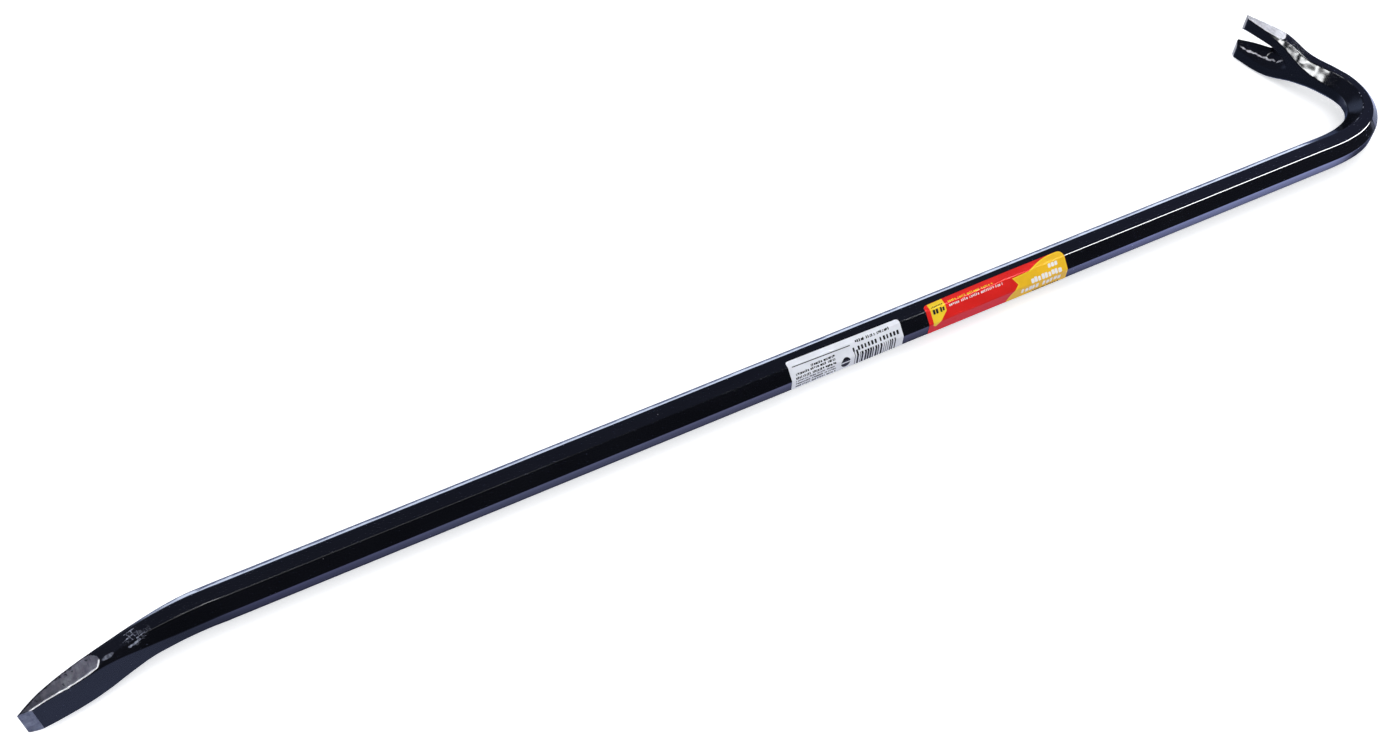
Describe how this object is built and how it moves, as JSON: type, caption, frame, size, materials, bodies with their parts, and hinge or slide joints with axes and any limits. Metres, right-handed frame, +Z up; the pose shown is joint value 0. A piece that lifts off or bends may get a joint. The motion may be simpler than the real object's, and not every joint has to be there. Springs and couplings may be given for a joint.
{
  "type": "pry bar",
  "caption": "Gooseneck wrecking bar: octagonal shank, hooked end with a V-slot nail claw, slightly bent flat chisel at the other end, wrapped adhesive labels.",
  "frame": {"origin": "on the underside flat of the octagonal shank, on the shank's centre line, half way along the overall length", "axes": "+X along the shank towards the hook, +Z up, normal to the plane the bar is bent in (claw and chisel edges are parallel to Z), the hook rises towards +Y"},
  "size_m": [0.9127, 0.1384, 0.0363],
  "materials": {
    "black_paint": "gloss",
    "label_red": "gloss",
    "label_white": "satin"
  },
  "bodies": {
    "root": {"bar": "black_paint", "product_label": "label_red", "barcode_label": "label_white"}
  },
  "joints": []
}
